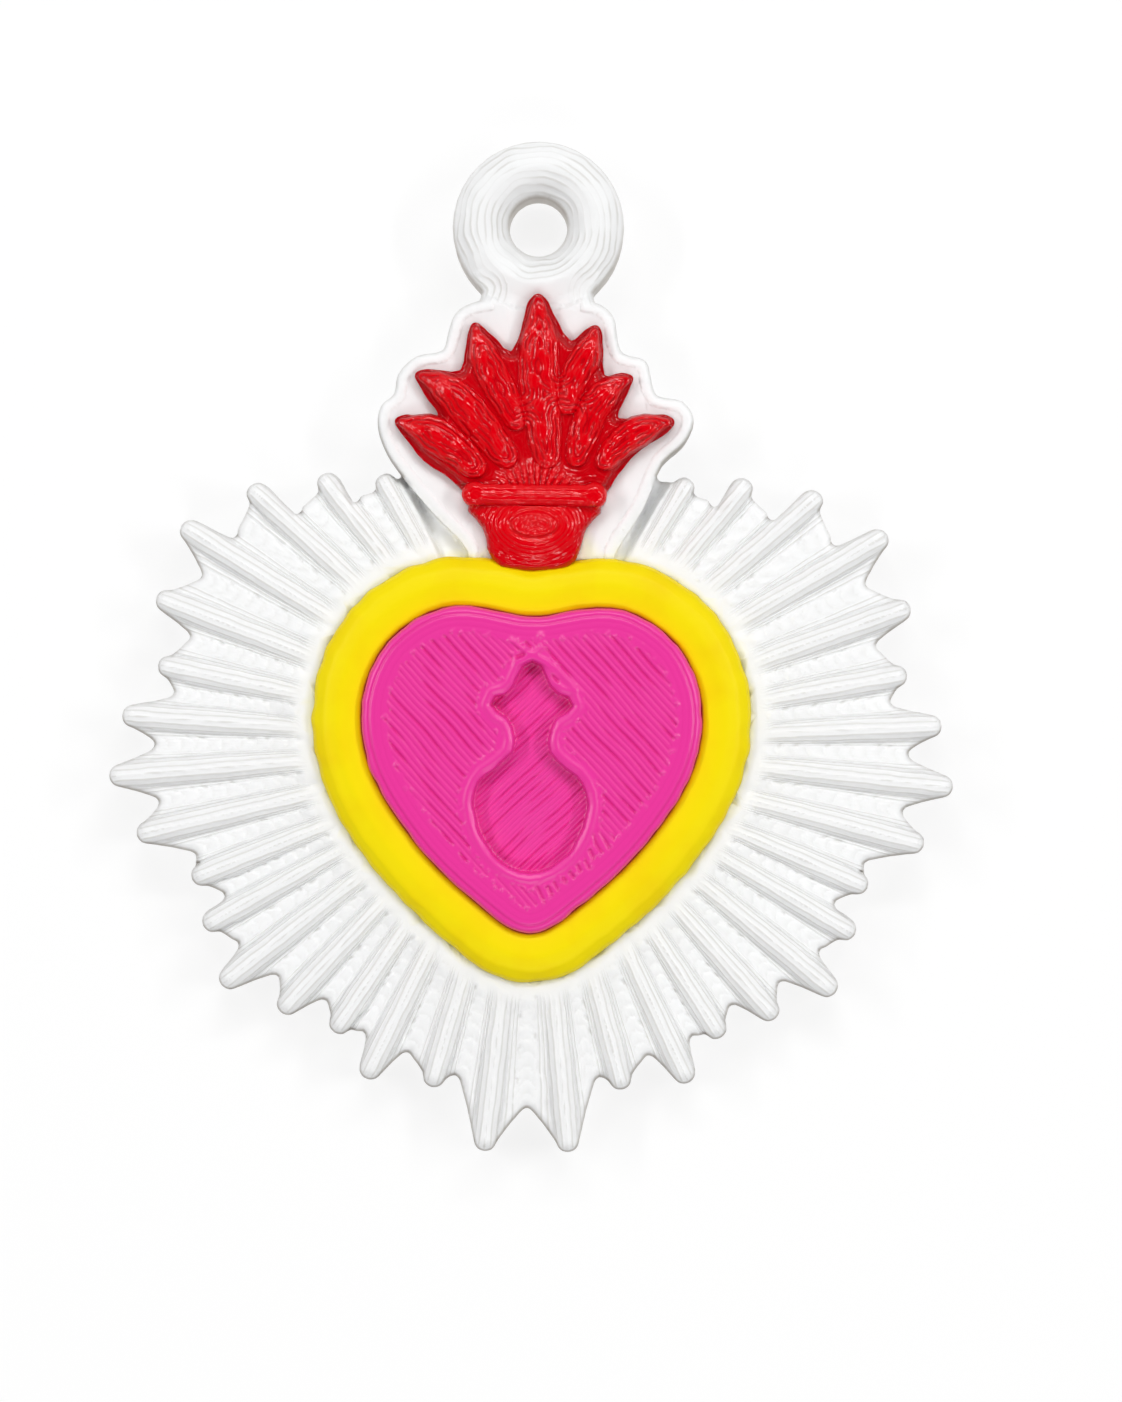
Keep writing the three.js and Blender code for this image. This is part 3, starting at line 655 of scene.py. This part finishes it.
def terrace_cup(x, z, depth, foot, from_boss, sizes):
    """Swells the cup towards its oval boss and lays it, and the band above, in terraces."""
    rise = z - CROWN_Z
    on_cup = (rise < CUP_TOP) * smooth_step(0.08, 0.4, foot) * (depth > FLAME_WALL + 0.1)
    bulge = BOSS_TOP - 0.1 * smooth_step(-0.12, 0.02, from_boss)
    bulge = bulge - 0.22 * smooth_step(0, 1.3, from_boss)
    bulge -= 0.07 * bell(from_boss, 0.02, 0.06)
    speckle = 0.025 * wander(x, z, 0.2, 17) * (from_boss < -0.05)
    depth = depth + (bulge + speckle - depth) * on_cup
    on_terraces = (rise < TERRACES_TOP) * (depth > FLAME_WALL - 0.1) * (from_boss > 0)
    terraced = stepped(depth + 0.01 * wander(x, z, 0.6, 16), 0.5 * sizes.layer / MM, 0.25)
    return np.where(on_terraces, terraced, depth)


def shape_crown(piece, sizes):
    """Shapes the flames, the cup and the band, and tells the red plastic where its lines run and
    where shade is painted on it, where it lies deep and down in its grooves."""
    points = points_of(piece)
    x, z = points[:, 0], points[:, 2]
    cast_depth = -points[:, 1]
    foot = distances(edge_finder("flame_crown", FLAME_WALL), points)
    outer = distances(edge_finder("flame_crown", PLATE_FLOOR), points)
    rise = z - CROWN_Z
    on_flames = smooth_step(*FLAMES_BEGIN, rise) * (cast_depth > PLATE_FLOOR + 0.2)
    # The domed flames have no wall that starts at one depth, so their foot is where the cast rises
    rising = (cast_depth > FLAME_WALL + 0.08) * (cast_depth < FLAME_WALL + 0.2)
    from_foot = nearest_of(points, points[(on_flames > 0.5) * rising])
    depth, rings, fine, folds = ridge_flames(x, z, cast_depth, outer, from_foot, on_flames, sizes)
    oval = np.hypot(x / BOSS_HALF_WIDTH, (rise - BOSS_RISE) / BOSS_HALF_HEIGHT)
    from_boss = np.hypot(x, rise - BOSS_RISE) * (1 - 1 / np.maximum(oval, 0.05))
    depth = terrace_cup(x, z, depth, foot, from_boss, sizes)
    points[:, 1] = -depth
    move_points(piece, points)
    finish_with(piece, "SMOOTH", factor=0.4, iterations=1)
    around = np.where(rise < CUP_TOP, 1.2 * from_boss, foot) / (sizes.strand / MM)
    mark(piece, "strand", np.where(on_flames > 0.5, rings, around))
    # Shade is painted low between the flames, darker over the band, and down in the grooves of the
    # ridges and the folds
    sunk_shade = 1 - smooth_step(*SHADE_ENDS, depth)
    sunk_shade = np.where(rise > BAND_RISE + 0.3, SHADE_ABOVE_BAND, SHADE_ELSEWHERE) * sunk_shade
    mark(piece, "sunk_shade", np.clip(np.maximum(sunk_shade, 0.7 * fine ** 2 + 0.5 * folds), 0, 1))


# Materials


def add_node(tree, kind, inputs=None, output=0, **settings):
    """Adds one shader node with its settings, and gives back one of its outputs. An input given a
    socket is linked, and any other is set."""
    node = tree.nodes.new("ShaderNode" + kind)
    for name, value in settings.items():
        setattr(node, name, value)
    for name, value in (inputs or {}).items():
        if isinstance(value, bpy.types.NodeSocket):
            tree.links.new(value, node.inputs[name])
        else:
            node.inputs[name].default_value = value
    return node.outputs[output] if node.outputs else None


def new_material(name):
    """An empty material, and its tree of nodes."""
    material = bpy.data.materials.new(name)
    material.use_nodes = True
    material.node_tree.nodes.clear()
    return material, material.node_tree


def lines_every(tree, pitch, distance):
    """A wave that rises and falls once for every pitch of a distance."""
    turns = add_node(tree, "Math", {0: distance, 1: TURN / pitch}, operation="MULTIPLY")
    return add_node(tree, "Math", {0: turns}, operation="SINE")


def layer_lines(tree, place, layer, shift):
    """A wave with one rise for each printed layer, as far as it isn't shifted."""
    depth = add_node(tree, "SeparateXYZ", {0: place}, "Y")
    level = add_node(tree, "Math", {0: depth, 1: shift}, operation="ADD")
    return lines_every(tree, layer, level)


def strand_lines(tree, count, uneven, waver):
    """A wave with one rise for each strand that is counted, wavering by a part of a strand."""
    wavered = add_node(tree, "Math", {0: uneven, 1: waver, 2: count}, operation="MULTIPLY_ADD")
    return lines_every(tree, 1, wavered)


def white_printed_pla(sizes):
    """PLA plastic, printed flat in layers: milky and satin, with a fine line at each strand."""
    material, tree = new_material("white_printed_pla")
    place = add_node(tree, "TexCoord", output="Object")
    # Strands 0.22 mm apart and layers of 0.12 mm stray by up to 0.1 mm over about 1.4 mm
    uneven = add_node(tree, "TexNoise", {"Vector": place, "Scale": 0.7 / MM, "Detail": 2.0})
    shift = add_node(tree, "Math", {0: uneven, 1: 0.1 * MM}, operation="MULTIPLY")
    # The marks for the pits, the outline and the white beside the rim and the crown say where shade
    # and light are painted
    steep, count, lined, pit_and_its_shade, edge, painted_crown_light_share, painted_rim_light_share = (
        add_node(tree, "Attribute", output="Fac", attribute_name=name)
        for name in ("steep", "strand", "lined", "pit_and_its_shade", "edge", "painted_crown_light_share", "painted_rim_light_share")
    )
    # One line for each layer on every surface that slopes, and lines along the crests of the rays
    # and round the loop
    layers = layer_lines(tree, place, sizes.layer, shift)
    on_slopes = add_node(tree, "Math", {0: layers, 1: steep}, operation="MULTIPLY")
    strands = strand_lines(tree, count, uneven, 0.6)
    front_lines = add_node(
        tree, "Math", {0: strands, 1: lined, 2: on_slopes}, operation="MULTIPLY_ADD"
    )
    # The flat back shows the strands of the first layer, twice as wide and laid slanting
    facing = add_node(tree, "NewGeometry", output="True Normal")
    back_facing = add_node(tree, "SeparateXYZ", {0: facing}, "Y")
    on_back = add_node(tree, "Math", {0: back_facing, 1: 0.9}, operation="GREATER_THAN")
    slanting = (math.sqrt(0.5), 0, math.sqrt(0.5))
    slant = add_node(tree, "VectorMath", {0: place, 1: slanting}, "Value", operation="DOT_PRODUCT")
    bed_count = add_node(tree, "Math", {0: slant, 1: shift}, operation="ADD")
    bed_lines = lines_every(tree, 2 * sizes.strand, bed_count)
    lines = add_node(tree, "Mix", {0: on_back, 2: front_lines, 3: bed_lines})
    relief = add_node(tree, "Bump", {"Height": lines, "Distance": 0.014 * MM, "Strength": 1.0})
    clouds = add_node(tree, "TexNoise", {"Vector": place, "Scale": 0.4 / MM, "Detail": 3.0})
    # Painted shade: little light gets out of the fine lines and the pits, so they are painted
    # greyer
    low = add_node(tree, "MapRange", {"Value": lines, "From Min": 0.2, "From Max": 1.2})
    greyer = add_node(tree, "Math", {0: low, 1: 0.9, 2: pit_and_its_shade}, operation="MULTIPLY_ADD")
    painted_crease_shade = add_node(tree, "Math", {0: greyer, 1: 1.0}, operation="MINIMUM")
    bed_shade = add_node(
        tree, "Mix", {0: low, UNDER: sizes.shade, OVER: sizes.crease_shade}, **IN_COLOUR
    )
    # Each colour lies over the ones before it: random clouds, painted shade in the lines and pits,
    # a warm grey painted shade along the outline, the light that the crown and the rim throw
    # painted on the white beside them, and the back's lines with painted shade in them
    shade = sizes.plastic
    for amount, over in (
        (clouds, sizes.shade), (painted_crease_shade, sizes.crease_shade), (edge, sizes.edge),
        (painted_crown_light_share, sizes.painted_crown_light), (painted_rim_light_share, sizes.painted_rim_light), (on_back, bed_shade),
    ):
        shade = add_node(tree, "Mix", {0: amount, UNDER: shade, OVER: over}, **IN_COLOUR)
    surface = add_node(tree, "BsdfPrincipled", {
        "Base Color": shade, "Roughness": 0.45, "IOR": 1.46, "Normal": relief,
        "Subsurface Weight": 0.8, "Subsurface Radius": (1.0, 1.0, 1.0),
        "Subsurface Scale": 0.25 * MM,
    })
    add_node(tree, "OutputMaterial", {"Surface": surface})
    return material


def yellow_printed_pla(sizes):
    """PLA plastic ironed smooth by the nozzle: satin, with faint cloudy places."""
    material, tree = new_material("yellow_printed_pla")
    place = add_node(tree, "TexCoord", output="Object")
    # Clouds about 2 mm across
    clouds = add_node(tree, "TexNoise", {"Vector": place, "Scale": 0.5 / MM, "Detail": 3.0})
    amount = add_node(tree, "MapRange", {"Value": clouds, "From Min": 0.45, "From Max": 0.8})
    cloudy = add_node(
        tree, "Mix", {0: amount, UNDER: sizes.plastic, OVER: sizes.shade}, **IN_COLOUR
    )
    # Painted shade and a painted reflection of the pink heart lie down in the seam beside it
    seam = add_node(tree, "Attribute", output="Fac", attribute_name="seam")
    shade = add_node(tree, "Mix", {0: seam, UNDER: cloudy, OVER: sizes.seam}, **IN_COLOUR)
    relief = add_node(tree, "Bump", {"Height": clouds, "Distance": 0.02 * MM, "Strength": 1.0})
    surface = add_node(tree, "BsdfPrincipled", {
        "Base Color": shade, "Roughness": 0.45, "IOR": 1.46, "Normal": relief,
        "Specular IOR Level": 0.14,
    })
    add_node(tree, "OutputMaterial", {"Surface": surface})
    return material


def pink_printed_pla(sizes):
    """PLA plastic laid in strands side by side: satin, with shade painted down between the strands.
    """
    material, tree = new_material("pink_printed_pla")
    groove = add_node(tree, "Attribute", output="Fac", attribute_name="groove")
    shade = add_node(
        tree, "Mix", {0: groove, UNDER: sizes.plastic, OVER: sizes.shade}, **IN_COLOUR
    )
    surface = add_node(tree, "BsdfPrincipled", {
        "Base Color": shade, "Roughness": 0.33, "IOR": 1.46,
    })
    add_node(tree, "OutputMaterial", {"Surface": surface})
    return material


def red_glossy_pla(sizes):
    """Silk PLA plastic, printed in thin layers: glossy, with fine lines that follow the flames."""
    material, tree = new_material("red_glossy_pla")
    place = add_node(tree, "TexCoord", output="Object")
    # Layers of 0.1 mm stray by up to 0.12 mm over about 0.7 mm
    uneven = add_node(tree, "TexNoise", {"Vector": place, "Scale": 1.4 / MM, "Detail": 3.0})
    shift = add_node(tree, "Math", {0: uneven, 1: 0.12 * MM}, operation="MULTIPLY")
    count = add_node(tree, "Attribute", output="Fac", attribute_name="strand")
    layers = layer_lines(tree, place, sizes.layer, shift)
    strands = strand_lines(tree, count, uneven, 0.3)
    lines = add_node(tree, "Math", {0: layers, 1: 0.5, 2: strands}, operation="MULTIPLY_ADD")
    # Grains about 0.3 mm across break up the gloss into glints
    grains = add_node(tree, "TexNoise", {"Vector": place, "Scale": 3.5 / MM, "Detail": 1.0})
    rough = add_node(tree, "Math", {0: grains, 1: 6.0, 2: lines}, operation="MULTIPLY_ADD")
    relief = add_node(tree, "Bump", {"Height": rough, "Distance": 0.006 * MM, "Strength": 1.0})
    # Painted shade lies down between the flames and in the grooves
    sunk_shade = add_node(tree, "Attribute", output="Fac", attribute_name="sunk_shade")
    shade = add_node(tree, "Mix", {0: sunk_shade, UNDER: sizes.plastic, OVER: sizes.shade}, **IN_COLOUR)
    surface = add_node(tree, "BsdfPrincipled", {
        "Base Color": shade, "Roughness": 0.1, "IOR": 1.47, "Normal": relief,
        "Specular IOR Level": 0.4,
    })
    add_node(tree, "OutputMaterial", {"Surface": surface})
    return material


def pale_paper(sizes):
    """Thin white paper lit from behind: matt and even. It is clear from behind, so that the charm's
    back can be seen."""
    material, tree = new_material("pale_paper")
    lit = add_node(tree, "BsdfDiffuse", {"Color": sizes.paper})
    glowing = add_node(tree, "Emission", {"Color": sizes.paper, "Strength": PAPER_LIGHT})
    face = add_node(tree, "MixShader", {0: sizes.glow, 1: lit, 2: glowing})
    clear = add_node(tree, "BsdfTransparent")
    behind = add_node(tree, "NewGeometry", output="Backfacing")
    shown = add_node(tree, "MixShader", {0: behind, 1: face, 2: clear})
    add_node(tree, "OutputMaterial", {"Surface": shown})
    return material


def soft_room(sizes):
    """Light from all round, a little stronger from the top, and none from straight in front."""
    world = bpy.data.worlds.new("soft_room")
    world.use_nodes = True
    tree = world.node_tree
    tree.nodes.clear()
    way = add_node(tree, "TexCoord", output="Generated")
    forward = add_node(tree, "SeparateXYZ", {0: way}, "Y")
    upward = add_node(tree, "SeparateXYZ", {0: way}, "Z")
    beside = add_node(tree, "MapRange", {"Value": forward, "From Min": -0.98, "From Max": -0.85})
    above = add_node(tree, "MapRange", {
        "Value": upward, "From Min": -1.0, "From Max": 1.0,
        "To Min": 0.8 * sizes.room, "To Max": 1.2 * sizes.room,
    })
    strength = add_node(tree, "Math", {0: beside, 1: above}, operation="MULTIPLY")
    light = add_node(tree, "Background", {"Color": (1, 1, 1, 1), "Strength": strength})
    add_node(tree, "OutputWorld", {"Surface": light})
    return world


# Pieces


class CHARM_OT_sunburst(bpy.types.Operator):
    """Casts the white sunburst again, with the layers that show in its valleys"""

    bl_idname = "charm.sunburst"
    bl_label = "White sunburst"

    def execute(self, context):
        sizes = context.scene.charm_sunburst
        piece = cast_again("sunburst", "white_sunburst", sizes.grain, 3)
        on_loop = points_of(piece)[:, 2] > NECK_FOOT
        pit_and_its_shade = carve_sunburst(piece, sizes)
        finish_with(piece, "SMOOTH", factor=0.5, iterations=1)
        # Painted shade from the pits and the crescents, and the whole loop made a little greyer
        mark(piece, "pit_and_its_shade", 0.2 * on_loop + pit_and_its_shade)
        thin_out(piece, sizes.faces)
        finish_with(piece, "WEIGHTED_NORMAL", mode="FACE_AREA", weight=50, keep_sharp=False)
        mark_sunburst(piece, sizes)
        settle(piece, "sunburst", white_printed_pla(sizes))
        return {"FINISHED"}


class CHARM_OT_heart_rim(bpy.types.Operator):
    """Casts the yellow rim again, its outer edge a little uneven"""

    bl_idname = "charm.heart_rim"
    bl_label = "Yellow rim"

    def execute(self, context):
        sizes = context.scene.charm_rim
        piece = cast_again("heart_rim", "yellow_rim", sizes.grain, 10)
        spread_out(piece, sizes.spread, sizes.unevenness, 11)
        from_heart = distances(edge_finder("heart", SEAT_FLOOR), points_of(piece))
        # Painted shade and a painted reflection of the heart in the seam beside it
        mark(piece, "seam", 1 - smooth_step(0.06, 0.15, from_heart))
        settle(piece, "heart_rim", yellow_printed_pla(sizes))
        return {"FINISHED"}


class CHARM_OT_heart(bpy.types.Operator):
    """Casts the pink heart again, with its face and its pocket's floor laid in strands"""

    bl_idname = "charm.heart"
    bl_label = "Pink heart"

    def execute(self, context):
        sizes = context.scene.charm_heart
        piece = cast_again("heart", "pink_heart", sizes.grain, 3)
        spread_out(piece, sizes.spread, 0.5 * sizes.spread, 12)
        lay_heart_strands(piece, sizes)
        thin_out(piece, sizes.faces)
        settle(piece, "heart", pink_printed_pla(sizes))
        return {"FINISHED"}


class CHARM_OT_flame_crown(bpy.types.Operator):
    """Casts the red crown of flames again, with the ridges, folds and terraces that shine on it"""

    bl_idname = "charm.flame_crown"
    bl_label = "Red flame crown"

    def execute(self, context):
        sizes = context.scene.charm_crown
        piece = cast_again("flame_crown", "red_crown", sizes.grain, 3)
        spread_out(piece, sizes.spread, 0.5 * sizes.spread, 13)
        shape_crown(piece, sizes)
        settle(piece, "flame_crown", red_glossy_pla(sizes))
        return {"FINISHED"}


class CHARM_OT_stage(bpy.types.Operator):
    """Lays the charm on a pale surface under soft light from four sides, and sets the camera"""

    bl_idname = "charm.stage"
    bl_label = "Stage"

    def execute(self, context):
        sizes = context.scene.charm_stage
        scene = context.scene
        scene.view_settings.view_transform = "Standard"

        bpy.ops.object.select_all(action="DESELECT")
        upright = (math.radians(90), 0, 0)
        bpy.ops.mesh.primitive_plane_add(
            size=PAPER_SIZE, location=(0, sizes.gap, 0), rotation=upright
        )
        paper = context.object
        paper.name = "pale_surface"
        paper.visible_shadow = False
        paper.data.materials.append(pale_paper(sizes))
        scene.world = soft_room(sizes)

        lying, standing = (LAMP_LONG, LAMP_SHORT), (LAMP_SHORT, SIDE_LAMP_LONG)
        for name, place, shape, watts in (
            ("soft_top_light", (0.02, -0.24, 0.16), lying, sizes.top_light),
            ("soft_left_light", (-0.22, -0.24, 0.04), standing, sizes.side_light),
            ("soft_right_light", (0.22, -0.24, 0.02), standing, sizes.side_light),
            ("soft_low_light", (0.03, -0.24, -0.2), lying, sizes.low_light),
        ):
            bpy.ops.object.light_add(type="AREA", location=place)
            lamp = context.object
            lamp.name = name
            lamp.data.shape = "RECTANGLE"
            lamp.data.size, lamp.data.size_y = shape
            lamp.data.energy = watts
            aim = CHARM_MIDDLE - lamp.location
            lamp.rotation_euler = aim.to_track_quat("-Z", "Y").to_euler()

        bpy.ops.object.camera_add(
            location=(sizes.side, -sizes.distance, -sizes.drop),
            rotation=(math.radians(90), sizes.roll, 0),
        )
        camera = context.object
        camera.name = "photo_camera"
        camera.data.sensor_width = 36.0
        camera.data.lens = sizes.lens
        camera.data.clip_start = 0.005
        camera.data.clip_end = 5.0
        scene.camera = camera
        return {"FINISHED"}


PIECES = (
    CHARM_OT_sunburst, CHARM_OT_heart_rim, CHARM_OT_heart, CHARM_OT_flame_crown, CHARM_OT_stage,
)
SIZES = {
    "charm_sunburst": SunburstSizes,
    "charm_rim": RimSizes,
    "charm_heart": HeartSizes,
    "charm_crown": CrownSizes,
    "charm_stage": StageSizes,
}


class CHARM_PT_pieces(bpy.types.Panel):
    """Lists the charm's pieces and their sizes"""

    bl_label = "Sacred heart charm"
    bl_space_type = "VIEW_3D"
    bl_region_type = "UI"
    bl_category = "Charm"

    def draw(self, context):
        for piece, name in zip(PIECES, SIZES):
            box = self.layout.box()
            box.operator(piece.bl_idname)
            sizes = getattr(context.scene, name)
            for field in sizes.__annotations__:
                box.prop(sizes, field)


def register():
    """Registers the classes and gives the scene its sizes."""
    for group in (*SIZES.values(), *PIECES, CHARM_PT_pieces):
        bpy.utils.register_class(group)
    for name, group in SIZES.items():
        setattr(bpy.types.Scene, name, bpy.props.PointerProperty(type=group))


def unregister():
    """Takes away what register added."""
    for name in SIZES:
        delattr(bpy.types.Scene, name)
    for group in reversed((*SIZES.values(), *PIECES, CHARM_PT_pieces)):
        bpy.utils.unregister_class(group)


def main():
    """Makes the pieces and the stage in order."""
    register()
    bpy.ops.charm.sunburst()
    bpy.ops.charm.heart_rim()
    bpy.ops.charm.heart()
    bpy.ops.charm.flame_crown()
    bpy.ops.charm.stage()


if __name__ == "__main__":
    main()
